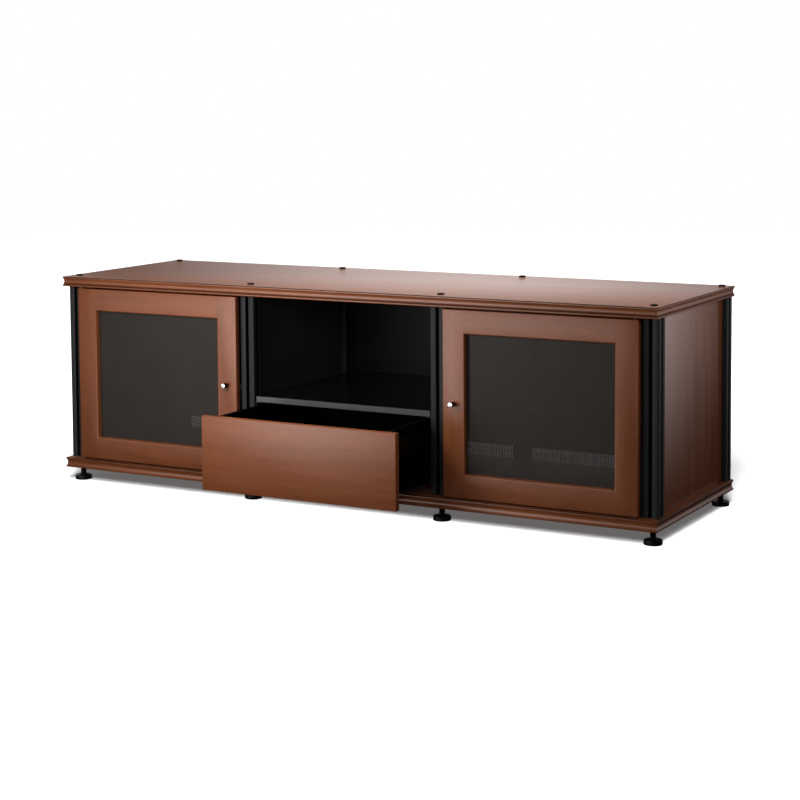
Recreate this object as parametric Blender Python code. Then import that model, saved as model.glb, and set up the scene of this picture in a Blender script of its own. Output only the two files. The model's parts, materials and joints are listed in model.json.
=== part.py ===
"""Three-bay media console: two moulded boards on slotted aluminium posts, with two framed
doors, three shelves and a drawer. Metres, +Z up. The front faces -Y and the floor is z = 0."""

import math

import bmesh
import bpy
from mathutils import Matrix, Vector

# Carcass sizes
CONSOLE_WIDTH = 1.667
CONSOLE_DEPTH = 0.520
BAY_COUNT = 3
BAY_HEIGHT = 0.456
BOARD_THICKNESS = 0.026
FOOT_HEIGHT = 0.037
CLEARANCE = 0.0003

# Moulded board edge: two thin lips with a hollow between them
LIP_HEIGHT = 0.0040
LIP_EASING = 0.0008
QUIRK_DEPTH = 0.0008
COVE_DEPTH = 0.0038
COVE_STEPS = 8
FIELD_GAP = 0.008

# Slotted post section
POST_SIZE = 0.040
POST_CORNER_RADIUS = 0.0035
POST_END_INSET = 0.025
SLOT_WIDTH = 0.008
SLOT_LIP = 0.0045
SLOT_CAVITY_WIDTH = 0.018
SLOT_DEPTH = 0.0115
SLOT_FLOOR_WIDTH = 0.009
POST_BORE_DIAMETER = 0.0076

# Bolts through the top board
CAP_DIAMETER = 0.0172
CAP_HEIGHT = 0.0032
CAP_EASING = 0.0010
BOLT_DIAMETER = 0.0070
BOLT_REACH = 0.030

# Levelling feet
PAD_DIAMETER = 0.0435
PAD_HEIGHT = 0.0125
PAD_SHOULDER = 0.0035
FOOT_COLLAR_DIAMETER = 0.0145
FOOT_STUD_REACH = 0.025

# Panels held by the posts
SIDE_PANEL_THICKNESS = 0.016
TONGUE_DEPTH = 0.008
PANEL_EASING = 0.0008
BACK_PANEL_THICKNESS = 0.003
BACK_PANEL_SETBACK = 0.0007
BACK_PANEL_SIDE_GAP = 0.002
CABLE_GAP = 0.033

# Shelves and their rails
SHELF_THICKNESS = 0.015
SHELF_EASING = 0.0010
SHELF_FRONT_SETBACK = 0.004
SHELF_REAR_GAP = 0.003
MIDDLE_SHELF_HEIGHT = 0.187
SIDE_SHELF_HEIGHT = 0.217
RAIL_METAL = 0.002
RAIL_LEG = 0.020
RAIL_LEDGE = 0.013
RAIL_END_SETBACK = 0.006
LUG_HEIGHT = 0.012
LUG_DEPTH = 0.004

# Doors
DOOR_SETBACK = 0.004
DOOR_THICKNESS = 0.016
DOOR_SWING_GAP = 0.001
DOOR_GAP = 0.004
DOOR_SIDE_GAP = 0.0025
DOOR_MEMBER_WIDTH = 0.0575
DOOR_EASING = 0.0012
DOOR_INNER_RADIUS = 0.0035
REBATE_WIDTH = 0.008
MESH_THICKNESS = 0.0015
MESH_EASING = 0.0004
PIN_INSET = 0.008
PIN_DIAMETER = 0.006
PIN_IN_BOARD = 0.010
PIN_IN_DOOR = 0.019
PIN_COLLAR_DIAMETER = 0.012

# Knobs
KNOB_LENGTH = 0.019
KNOB_DIAMETER = 0.0125
KNOB_FOOT_DIAMETER = 0.0105
KNOB_FOOT_LENGTH = 0.002
KNOB_EASING = 0.0008
KNOB_SCREW_DIAMETER = 0.004
KNOB_SCREW_LENGTH = 0.012

# Drawer
DRAWER_FRONT_OVERLAP = 0.019
DRAWER_FRONT_LOW_GAP = 0.002
DRAWER_FRONT_TOP_GAP = 0.0035
DRAWER_FRONT_EASING = 0.0012
DRAWER_BOX_LENGTH = 0.400
DRAWER_BOX_RAISE = 0.027
DRAWER_BOX_DROP = 0.0025
DRAWER_WALL = 0.012
DRAWER_BOTTOM_THICKNESS = 0.006
DRAWER_BOTTOM_RAISE = 0.008
GROOVE_DEPTH = 0.005
DRAWER_PULL = 0.190

# Drawer slides: a channel on the posts and a runner nested in it
SLIDE_SPACE = 0.0127
SLIDE_HEIGHT = 0.045
SLIDE_METAL = 0.0015
SLIDE_PLAY = 0.0006
CHANNEL_FLANGE = 0.0085
RUNNER_FLANGE = 0.0075
SLIDE_BELOW_BOX_TOP = 0.0205

# Facets on turned pieces
FINE_FACETS = 24
SHANK_FACETS = 12

# Heights and planes that follow
half_width = CONSOLE_WIDTH / 2
half_depth = CONSOLE_DEPTH / 2
bay_floor = FOOT_HEIGHT + BOARD_THICKNESS
bay_ceiling = bay_floor + BAY_HEIGHT
post_half = POST_SIZE / 2
outer_post_x = half_width - POST_END_INSET
post_pitch = 2 * outer_post_x / BAY_COUNT
post_xs = [-outer_post_x + post_pitch * index for index in range(BAY_COUNT + 1)]
bay_width = post_pitch - POST_SIZE
door_front_y = -half_depth + DOOR_SETBACK
door_back_y = door_front_y + DOOR_THICKNESS
front_post_y = door_back_y + DOOR_SWING_GAP + post_half
back_panel_y = half_depth - BACK_PANEL_SETBACK - BACK_PANEL_THICKNESS
rear_post_y = back_panel_y - CLEARANCE - post_half
post_ys = {"front": front_post_y, "rear": rear_post_y}
field_inset = half_depth + front_post_y + CAP_DIAMETER / 2 + FIELD_GAP
post_span_y = rear_post_y - front_post_y
post_mid_y = (front_post_y + rear_post_y) / 2
tongue_thickness = SLOT_WIDTH - 2 * CLEARANCE
bay_xs = {"left": (post_xs[0] + post_xs[1]) / 2, "middle": 0.0, "right": (post_xs[2] + post_xs[3]) / 2}
shelf_heights = {"left": SIDE_SHELF_HEIGHT, "middle": MIDDLE_SHELF_HEIGHT, "right": SIDE_SHELF_HEIGHT}

# The origin is on the floor at the middle of the footprint, with the drawer pulled out as at rest
drawer_rest_y = door_front_y - DRAWER_PULL
footprint_mid_y = (drawer_rest_y + half_depth) / 2


def clear_scene():
    for item in list(bpy.data.objects):
        bpy.data.objects.remove(item, do_unlink=True)


def make_material(name, colour, roughness, metallic):
    material = bpy.data.materials.new(name)
    material.use_nodes = True
    shader = material.node_tree.nodes["Principled BSDF"]
    shader.inputs["Base Color"].default_value = (*colour, 1.0)
    shader.inputs["Roughness"].default_value = roughness
    shader.inputs["Metallic"].default_value = metallic
    return material


def make_empty(name, location, parent=None):
    empty = bpy.data.objects.new(name, None)
    bpy.context.scene.collection.objects.link(empty)
    empty.location = location
    empty.parent = parent
    return empty


def finish_mesh(name, shape, material, smooth=False):
    bmesh.ops.recalc_face_normals(shape, faces=shape.faces)
    mesh = bpy.data.meshes.new(name)
    shape.to_mesh(mesh)
    shape.free()
    mesh.materials.append(material)
    if smooth:
        mesh.shade_smooth()
        mesh.set_sharp_from_angle(angle=math.radians(35))
    return mesh


def place(name, mesh, parent, location=(0.0, 0.0, 0.0), turn=None):
    item = bpy.data.objects.new(name, mesh)
    bpy.context.scene.collection.objects.link(item)
    item.parent = parent
    item.location = location
    if turn is not None:
        item.rotation_euler = turn
    return item


def cut(item, cutter_mesh, location):
    """Takes the cutter's shape out of the item. The location is in the item's own space."""
    cutter = place(item.name + "_cutter", cutter_mesh, item, location)
    cutter.hide_render = True
    cutter.display_type = "WIRE"
    modifier = item.modifiers.new("holes", "BOOLEAN")
    modifier.operation = "DIFFERENCE"
    modifier.solver = "EXACT"
    modifier.object = cutter


def bridge_rings(shape, rings, closed=False):
    """Joins each ring of vertices to the next with quads. A closed stack joins the last to the first."""
    count = len(rings[0])
    pairs = list(zip(rings, rings[1:]))
    if closed:
        pairs.append((rings[-1], rings[0]))
    for lower, upper in pairs:
        for index in range(count):
            after = (index + 1) % count
            shape.faces.new((lower[index], lower[after], upper[after], upper[index]))


def turned_shape(profile, facets):
    """A solid of revolution about Z. The profile runs up from (radius, height) to (radius, height)."""
    shape = bmesh.new()
    rings = []
    for radius, height in profile:
        ring = []
        for index in range(facets):
            angle = 2 * math.pi * index / facets
            ring.append(shape.verts.new((radius * math.cos(angle), radius * math.sin(angle), height)))
        rings.append(ring)
    bridge_rings(shape, rings)
    shape.faces.new(rings[0])
    shape.faces.new(rings[-1])
    return shape


def add_cylinder(shape, centre, direction, radius, length, facets=SHANK_FACETS):
    """A plain cylinder from the centre point along the direction, for cutting holes."""
    start = Vector(centre)
    axis = Vector(direction)
    turn = axis.to_track_quat("Z", "Y").to_matrix().to_4x4()
    middle = Matrix.Translation(start + axis * length / 2)
    bmesh.ops.create_cone(
        shape,
        cap_ends=True,
        segments=facets,
        radius1=radius,
        radius2=radius,
        depth=length,
        matrix=middle @ turn,
    )


def eased_block(width, depth, height, easing):
    """A block with eased edges, centred on the origin."""
    shape = bmesh.new()
    bmesh.ops.create_cube(shape, size=1.0)
    bmesh.ops.scale(shape, vec=(width, depth, height), verts=shape.verts)
    bmesh.ops.bevel(shape, geom=shape.edges[:], offset=easing, segments=1, affect="EDGES")
    return shape


def prism(outline, length, hole=None):
    """A prism along Z from 0 to the length, with a through hole where one is given."""
    shape = bmesh.new()
    for loop in filter(None, (outline, hole)):
        corners = [shape.verts.new((x, y, 0.0)) for x, y in loop]
        for first, second in zip(corners, corners[1:] + corners[:1]):
            shape.edges.new((first, second))
    bmesh.ops.triangle_fill(shape, edges=shape.edges[:], use_beauty=True)
    top = bmesh.ops.extrude_face_region(shape, geom=shape.faces[:], use_keep_orig=True)
    raised = [part for part in top["geom"] if isinstance(part, bmesh.types.BMVert)]
    bmesh.ops.translate(shape, vec=(0.0, 0.0, length), verts=raised)
    return shape


def rectangle_ring(shape, half_x, half_y, height):
    corners = ((-half_x, -half_y), (half_x, -half_y), (half_x, half_y), (-half_x, half_y))
    return [shape.verts.new((x, y, height)) for x, y in corners]


def hole_ring(shape, centre, radius, height):
    circle = circle_points(radius, SHANK_FACETS)
    return [shape.verts.new((centre[0] + x, centre[1] + y, height)) for x, y in circle]


def fill_around(shape, loops):
    """Fills the flat face inside the first loop of vertices, and leaves the other loops open."""
    edges = []
    for loop in loops:
        for first, second in zip(loop, loop[1:] + loop[:1]):
            edges.append(shape.edges.get((first, second)))
    bmesh.ops.triangle_fill(shape, edges=edges, use_beauty=True)


def arc_points(centre, radius, start, end, steps):
    """Points on an arc, angles in degrees, both ends included."""
    points = []
    for index in range(steps + 1):
        angle = math.radians(start + (end - start) * index / steps)
        points.append((centre[0] + radius * math.cos(angle), centre[1] + radius * math.sin(angle)))
    return points


def moulded_edge():
    """(inset, height) points up the edge of a board: lower lip, hollow, upper lip."""
    low = LIP_HEIGHT
    high = BOARD_THICKNESS - LIP_HEIGHT
    chord = high - low
    sagitta = COVE_DEPTH - QUIRK_DEPTH
    radius = (chord * chord / 4 + sagitta * sagitta) / (2 * sagitta)
    half_angle = math.degrees(math.asin(chord / 2 / radius))
    centre = (COVE_DEPTH - radius, BOARD_THICKNESS / 2)
    hollow = arc_points(centre, radius, -half_angle, half_angle, COVE_STEPS)
    lower_lip = [(LIP_EASING, 0.0), (0.0, LIP_EASING), (0.0, low)]
    upper_lip = [(0.0, high), (0.0, BOARD_THICKNESS - LIP_EASING), (LIP_EASING, BOARD_THICKNESS)]
    return lower_lip + hollow + upper_lip


def moulded_board(bolt_points, pin_points, pins_above):
    """A board with the moulding mitred round its four edges, standing on z = 0.

    The bolt holes go right through it, and the pins' sockets are blind, in its upper or lower face.
    The upper face has a clear field inside the rows of bolts.
    """
    shape = bmesh.new()
    rings = []
    for inset, height in moulded_edge():
        rings.append(rectangle_ring(shape, half_width - inset, half_depth - inset, height))
    bridge_rings(shape, rings)
    field = rectangle_ring(shape, half_width - field_inset, half_depth - field_inset, BOARD_THICKNESS)
    shape.faces.new(field)
    lower_loops = [rings[0]]
    upper_loops = [rings[-1], field]

    bolt_hole = BOLT_DIAMETER / 2 + CLEARANCE
    for point in bolt_points:
        lower = hole_ring(shape, point, bolt_hole, 0.0)
        upper = hole_ring(shape, point, bolt_hole, BOARD_THICKNESS)
        bridge_rings(shape, [lower, upper])
        lower_loops.append(lower)
        upper_loops.append(upper)

    socket = PIN_IN_BOARD + CLEARANCE
    mouth_height = BOARD_THICKNESS if pins_above else 0.0
    floor_height = BOARD_THICKNESS - socket if pins_above else socket
    for point in pin_points:
        mouth = hole_ring(shape, point, PIN_DIAMETER / 2 + CLEARANCE, mouth_height)
        floor = hole_ring(shape, point, PIN_DIAMETER / 2 + CLEARANCE, floor_height)
        bridge_rings(shape, [mouth, floor])
        shape.faces.new(floor)
        if pins_above:
            upper_loops.append(mouth)
        else:
            lower_loops.append(mouth)

    fill_around(shape, lower_loops)
    fill_around(shape, upper_loops)
    return shape


def slotted_outline():
    """The post's section: a rounded square with an undercut slot in each face.

    Behind its lips each slot narrows to its floor at 45 degrees.
    """
    half_slot = SLOT_WIDTH / 2
    half_cavity = SLOT_CAVITY_WIDTH / 2
    half_floor = SLOT_FLOOR_WIDTH / 2
    lip_inner = post_half - SLOT_LIP
    slot_floor = post_half - SLOT_DEPTH
    corner = post_half - POST_CORNER_RADIUS
    narrowing = slot_floor + half_cavity - half_floor
    quarter = arc_points((corner, -corner), POST_CORNER_RADIUS, -45, 0, 2)
    quarter += [
        (post_half, -half_slot),
        (lip_inner, -half_slot),
        (lip_inner, -half_cavity),
        (narrowing, -half_cavity),
        (slot_floor, -half_floor),
    ]
    side = quarter + [(x, -y) for x, y in reversed(quarter)]
    outline = []
    for turn in range(4):
        quarter_turn = Matrix.Rotation(math.pi / 2 * turn, 2)
        for point in side[:-1]:
            outline.append(tuple(quarter_turn @ Vector(point)))
    return outline


def circle_points(radius, facets):
    return arc_points((0.0, 0.0), radius, 0, 360 - 360 / facets, facets - 1)


def lugged_bar(section, lug_low, lug_high, length, lug_spacing):
    """A bar along Y with the given (x, z) section, and a lug near each end on its x = 0 face.

    The section has an edge on x = 0 from lug_low to lug_high, which the lugs grow from.
    """
    shape = bmesh.new()
    half_lug = tongue_thickness / 2
    half_spacing = lug_spacing / 2
    stations = [-length / 2]
    for middle in (-half_spacing, half_spacing):
        stations += [middle - half_lug, middle + half_lug]
    stations.append(length / 2)
    rings = [[shape.verts.new((x, y, z)) for x, z in section] for y in stations]
    bridge_rings(shape, rings)
    shape.faces.new(rings[0])
    shape.faces.new(rings[-1])
    seats = []
    for face in shape.faces:
        centre = face.calc_center_median()
        on_seat = abs(centre.x) < 1e-7 and lug_low < centre.z < lug_high
        on_station = abs(abs(centre.y) - half_spacing) < half_lug / 2
        if on_seat and on_station:
            seats.append(face)
    for seat in seats:
        grown = bmesh.ops.extrude_face_region(shape, geom=[seat])
        tips = [part for part in grown["geom"] if isinstance(part, bmesh.types.BMVert)]
        bmesh.ops.translate(shape, vec=(-LUG_DEPTH, 0.0, 0.0), verts=tips)
        bmesh.ops.delete(shape, geom=[seat], context="FACES_ONLY")
    return shape


def on_both_sides(make_one):
    """Runs a maker for the left side and for the right side."""
    for side, sign in (("left", -1), ("right", 1)):
        make_one(side, sign)


# Materials
def make_finishes():
    return {
        "veneer": make_material("cherry veneer", (0.20, 0.060, 0.022), 0.32, 0.0),
        "black_metal": make_material("black anodised aluminium", (0.018, 0.018, 0.019), 0.38, 0.7),
        "black_cap": make_material("black bolt head", (0.012, 0.012, 0.012), 0.35, 0.3),
        "black_foot": make_material("black foot", (0.012, 0.012, 0.012), 0.45, 0.0),
        "black_panel": make_material("black panel", (0.012, 0.012, 0.012), 0.5, 0.0),
        "black_shelf": make_material("black shelf", (0.010, 0.010, 0.010), 0.22, 0.0),
        "black_mesh": make_material("black perforated steel", (0.030, 0.026, 0.023), 0.5, 0.5),
        "black_box": make_material("black drawer box", (0.010, 0.010, 0.010), 0.55, 0.0),
        "black_steel": make_material("black steel", (0.015, 0.015, 0.015), 0.4, 0.5),
        "nickel": make_material("satin nickel", (0.62, 0.60, 0.56), 0.25, 1.0),
    }


# Top and bottom boards
def make_boards(finish, root, pin_points):
    bolt_points = [(x, y) for x in post_xs for y in post_ys.values()]
    top = moulded_board(bolt_points, pin_points, pins_above=False)
    top_mesh = finish_mesh("top_board", top, finish["veneer"])
    place("top_board", top_mesh, root, (0.0, 0.0, bay_ceiling))
    bottom = moulded_board(bolt_points, pin_points, pins_above=True)
    bottom_mesh = finish_mesh("bottom_board", bottom, finish["veneer"])
    place("bottom_board", bottom_mesh, root, (0.0, 0.0, FOOT_HEIGHT))


# Posts, bolts and feet
def make_posts(finish, root):
    bore = circle_points(POST_BORE_DIAMETER / 2, SHANK_FACETS)
    section = prism(slotted_outline(), BAY_HEIGHT - 2 * CLEARANCE, bore)
    post_mesh = finish_mesh("post", section, finish["black_metal"])

    head = CAP_DIAMETER / 2
    shank = BOLT_DIAMETER / 2
    bolt_profile = [
        (shank, -BOARD_THICKNESS - BOLT_REACH),
        (shank, CLEARANCE),
        (head, CLEARANCE),
        (head, CLEARANCE + CAP_HEIGHT - CAP_EASING),
        (head - CAP_EASING, CLEARANCE + CAP_HEIGHT),
    ]
    bolt = turned_shape(bolt_profile, FINE_FACETS)
    bolt_mesh = finish_mesh("cap", bolt, finish["black_cap"], smooth=True)

    pad = PAD_DIAMETER / 2
    collar = FOOT_COLLAR_DIAMETER / 2
    pad_edge = PAD_HEIGHT - PAD_SHOULDER
    shoulder = arc_points((pad - PAD_SHOULDER, pad_edge), PAD_SHOULDER, 0, 90, 3)
    foot_profile = [
        (pad - CAP_EASING, 0.0),
        (pad, CAP_EASING),
        *shoulder,
        (collar, PAD_HEIGHT + PAD_SHOULDER / 2),
        (collar, FOOT_HEIGHT - CLEARANCE),
        (shank, FOOT_HEIGHT - CLEARANCE),
        (shank, bay_floor + FOOT_STUD_REACH),
    ]
    foot = turned_shape(foot_profile, FINE_FACETS)
    foot_mesh = finish_mesh("foot", foot, finish["black_foot"], smooth=True)

    for row, y in post_ys.items():
        for number, x in enumerate(post_xs, start=1):
            place(f"post_{row}_{number}", post_mesh, root, (x, y, bay_floor + CLEARANCE))
            place(f"cap_{row}_{number}", bolt_mesh, root, (x, y, bay_ceiling + BOARD_THICKNESS))
            place(f"foot_{row}_{number}", foot_mesh, root, (x, y, 0.0))


# Side panels, divider and backs
def tongued_panel(thickness):
    """A panel on the Y-Z plane between two posts, its front and rear edges thinned to fit the slots."""
    gap = post_span_y - POST_SIZE - 2 * CLEARANCE
    half_gap = gap / 2
    half_tongue = tongue_thickness / 2
    half_panel = thickness / 2
    reach = half_gap + TONGUE_DEPTH
    quarter = [(half_tongue, reach), (half_tongue, half_gap), (half_panel, half_gap)]
    right_side = [(x, -y) for x, y in quarter] + [(x, y) for x, y in reversed(quarter)]
    outline = right_side + [(-x, y) for x, y in reversed(right_side)]
    return prism(outline, BAY_HEIGHT - 2 * CLEARANCE)


def make_panels(finish, root):
    base = bay_floor + CLEARANCE
    side_mesh = finish_mesh("side_panel", tongued_panel(SIDE_PANEL_THICKNESS), finish["veneer"])
    place("side_panel_left", side_mesh, root, (post_xs[0], post_mid_y, base))
    place("side_panel_right", side_mesh, root, (post_xs[-1], post_mid_y, base))

    reach = post_span_y - POST_SIZE + 2 * TONGUE_DEPTH
    height = BAY_HEIGHT - 2 * CLEARANCE
    divider = eased_block(tongue_thickness, reach, height, PANEL_EASING)
    divider_mesh = finish_mesh("divider_left", divider, finish["black_panel"])
    place("divider_left", divider_mesh, root, (post_xs[1], post_mid_y, base + height / 2))

    back_height = BAY_HEIGHT - CABLE_GAP - CLEARANCE
    back_width = post_pitch - BACK_PANEL_SIDE_GAP
    back = eased_block(back_width, BACK_PANEL_THICKNESS, back_height, PANEL_EASING)
    back_mesh = finish_mesh("back_panel", back, finish["black_panel"])
    back_z = bay_ceiling - CLEARANCE - back_height / 2
    for bay, x in bay_xs.items():
        place(f"back_panel_{bay}", back_mesh, root, (x, back_panel_y + BACK_PANEL_THICKNESS / 2, back_z))


# Shelves on their rails
def rail_section():
    """An angle seen along Y: its leg hangs down the post's face and its ledge points into the bay."""
    lug_top = -RAIL_LEG / 2 + LUG_HEIGHT / 2
    lug_base = -RAIL_LEG / 2 - LUG_HEIGHT / 2
    section = [
        (0.0, -RAIL_LEG),
        (RAIL_METAL, -RAIL_LEG),
        (RAIL_METAL, -RAIL_METAL),
        (RAIL_LEDGE, -RAIL_METAL),
        (RAIL_LEDGE, 0.0),
        (0.0, 0.0),
        (0.0, lug_top),
        (0.0, lug_base),
    ]
    return section, lug_base, lug_top


def make_shelves(finish, root):
    shelf_width = bay_width - 2 * (RAIL_METAL + CLEARANCE)
    shelf_front = front_post_y - post_half + SHELF_FRONT_SETBACK
    shelf_rear = back_panel_y - SHELF_REAR_GAP
    board = eased_block(shelf_width, shelf_rear - shelf_front, SHELF_THICKNESS, SHELF_EASING)
    shelf_mesh = finish_mesh("shelf", board, finish["black_shelf"])
    section, lug_base, lug_top = rail_section()
    rail_length = post_span_y + POST_SIZE - 2 * RAIL_END_SETBACK
    rail = lugged_bar(section, lug_base, lug_top, rail_length, post_span_y)
    rail_mesh = finish_mesh("shelf_rail", rail, finish["black_metal"])
    for bay, x in bay_xs.items():
        seat = bay_floor + shelf_heights[bay]
        shelf_y = (shelf_front + shelf_rear) / 2
        place(f"shelf_{bay}", shelf_mesh, root, (x, shelf_y, seat + CLEARANCE + SHELF_THICKNESS / 2))
        wall = bay_width / 2 - CLEARANCE
        place(f"shelf_rail_{bay}_1", rail_mesh, root, (x - wall, post_mid_y, seat))
        place(f"shelf_rail_{bay}_2", rail_mesh, root, (x + wall, post_mid_y, seat), (0.0, 0.0, math.pi))


# Doors
door_width = bay_width - 2 * DOOR_SIDE_GAP
door_height = BAY_HEIGHT - 2 * DOOR_GAP
door_mid_z = bay_floor + BAY_HEIGHT / 2
rebate_depth = MESH_THICKNESS + 2 * CLEARANCE


def hinge_point(side, sign):
    """(x, y) of a door's pin axis: near its outer edge, at the middle of its thickness."""
    return bay_xs[side] + sign * (door_width / 2 - PIN_INSET), door_front_y + DOOR_THICKNESS / 2


def door_member_section():
    """(distance in from the outer edge, depth behind the front) round one frame member."""
    inner = DOOR_MEMBER_WIDTH
    radius = DOOR_INNER_RADIUS
    rounding = arc_points((inner - radius, radius), radius, -90, 0, 4)
    return [
        (0.0, DOOR_EASING),
        (DOOR_EASING, 0.0),
        *rounding,
        (inner, DOOR_THICKNESS - rebate_depth),
        (inner - REBATE_WIDTH, DOOR_THICKNESS - rebate_depth),
        (inner - REBATE_WIDTH, DOOR_THICKNESS),
        (DOOR_EASING, DOOR_THICKNESS),
        (0.0, DOOR_THICKNESS - DOOR_EASING),
    ]


def door_frame_shape():
    """The member's section carried round the four sides with mitred corners, upright and facing -Y."""
    shape = bmesh.new()
    rings = []
    for inset, depth in door_member_section():
        ring = rectangle_ring(shape, door_width / 2 - inset, door_height / 2 - inset, -depth)
        rings.append(ring)
    bridge_rings(shape, rings, closed=True)
    bmesh.ops.rotate(shape, verts=shape.verts, cent=(0, 0, 0), matrix=Matrix.Rotation(math.pi / 2, 3, "X"))
    return shape


def knob_profile():
    """A round bar knob turned about Z, its screw below z = 0 and a narrower foot against the door."""
    body = KNOB_DIAMETER / 2
    foot = KNOB_FOOT_DIAMETER / 2
    screw = KNOB_SCREW_DIAMETER / 2
    shoulder = CLEARANCE + KNOB_FOOT_LENGTH
    return [
        (screw, -KNOB_SCREW_LENGTH),
        (screw, CLEARANCE),
        (foot, CLEARANCE),
        (foot, shoulder),
        (body - KNOB_EASING, shoulder),
        (body, shoulder + KNOB_EASING),
        (body, KNOB_LENGTH - KNOB_EASING),
        (body - KNOB_EASING, KNOB_LENGTH),
    ]


def pin_profile():
    """A lower pin: its foot in the board, a collar that the door turns on, its top in the door."""
    shank = PIN_DIAMETER / 2
    collar = PIN_COLLAR_DIAMETER / 2
    collar_top = DOOR_GAP - CLEARANCE
    return [
        (shank, -PIN_IN_BOARD),
        (shank, CLEARANCE),
        (collar, CLEARANCE),
        (collar, collar_top),
        (shank, collar_top),
        (shank, DOOR_GAP + PIN_IN_DOOR),
    ]


def make_doors(finish, root):
    frame_mesh = finish_mesh("door_frame", door_frame_shape(), finish["veneer"])
    knob = turned_shape(knob_profile(), FINE_FACETS)
    knob_mesh = finish_mesh("door_knob", knob, finish["nickel"], smooth=True)
    pin = turned_shape(pin_profile(), SHANK_FACETS)
    pin_mesh = finish_mesh("door_pin", pin, finish["black_steel"], smooth=True)
    sheet_trim = 2 * (DOOR_MEMBER_WIDTH - REBATE_WIDTH + CLEARANCE)
    sheet_width = door_width - sheet_trim
    sheet_height = door_height - sheet_trim
    sheet = eased_block(sheet_width, MESH_THICKNESS, sheet_height, MESH_EASING)
    sheet_mesh = finish_mesh("door_mesh", sheet, finish["black_mesh"])

    def make_door(side, sign):
        axis_x, axis_y = hinge_point(side, sign)
        pivot = make_empty(f"door_{side}_pivot", (axis_x, axis_y, door_mid_z), root)
        middle = -sign * (door_width / 2 - PIN_INSET)
        front = door_front_y - axis_y
        frame = place(f"door_frame_{side}", frame_mesh, pivot, (middle, front, 0.0))
        sheet_y = front + DOOR_THICKNESS - CLEARANCE - MESH_THICKNESS / 2
        place(f"door_mesh_{side}", sheet_mesh, pivot, (middle, sheet_y, 0.0))
        knob_x = -sign * (door_width / 2 - DOOR_MEMBER_WIDTH / 2)
        place(f"door_knob_{side}", knob_mesh, pivot, (middle + knob_x, front, 0.0), (math.pi / 2, 0.0, 0.0))

        holes = bmesh.new()
        pin_hole = PIN_DIAMETER / 2 + CLEARANCE
        pin_depth = PIN_IN_DOOR + CLEARANCE
        for end in (-1, 1):
            start = (-middle, -front, end * (door_height / 2 - pin_depth))
            add_cylinder(holes, start, (0, 0, end), pin_hole, 2 * pin_depth)
        screw_hole = KNOB_SCREW_DIAMETER / 2 + CLEARANCE
        screw_depth = KNOB_SCREW_LENGTH + CLEARANCE
        add_cylinder(holes, (knob_x, screw_depth, 0.0), (0, -1, 0), screw_hole, 2 * screw_depth)
        cut(frame, finish_mesh(f"door_{side}_holes", holes, finish["veneer"]), (0.0, 0.0, 0.0))

        place(f"door_pin_{side}_lower", pin_mesh, root, (axis_x, axis_y, bay_floor))
        place(f"door_pin_{side}_upper", pin_mesh, root, (axis_x, axis_y, bay_ceiling), (math.pi, 0.0, 0.0))

    on_both_sides(make_door)


# Drawer
drawer_front_low = bay_floor + DRAWER_FRONT_LOW_GAP
drawer_front_high = bay_floor + MIDDLE_SHELF_HEIGHT + CLEARANCE - DRAWER_FRONT_TOP_GAP
drawer_box_low = drawer_front_low + DRAWER_BOX_RAISE
drawer_box_high = drawer_front_high - DRAWER_BOX_DROP
drawer_box_width = bay_width - 2 * SLIDE_SPACE
slide_mid_z = drawer_box_high - SLIDE_BELOW_BOX_TOP - SLIDE_HEIGHT / 2
groove_low = drawer_box_low + DRAWER_BOTTOM_RAISE
groove_height = DRAWER_BOTTOM_THICKNESS + 2 * CLEARANCE


def drawer_wall_shape(length):
    """A drawer wall along Y from 0, inner face at x = 0 towards +X, with the groove for the bottom."""
    low = drawer_box_low
    high = drawer_box_high
    section = [
        (-DRAWER_WALL, low),
        (0.0, low),
        (0.0, groove_low),
        (-GROOVE_DEPTH, groove_low),
        (-GROOVE_DEPTH, groove_low + groove_height),
        (0.0, groove_low + groove_height),
        (0.0, high),
        (-DRAWER_WALL, high),
    ]
    shape = bmesh.new()
    rings = [[shape.verts.new((x, y, z)) for x, z in section] for y in (0.0, length)]
    bridge_rings(shape, rings)
    shape.faces.new(rings[0])
    shape.faces.new(rings[-1])
    return shape


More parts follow.
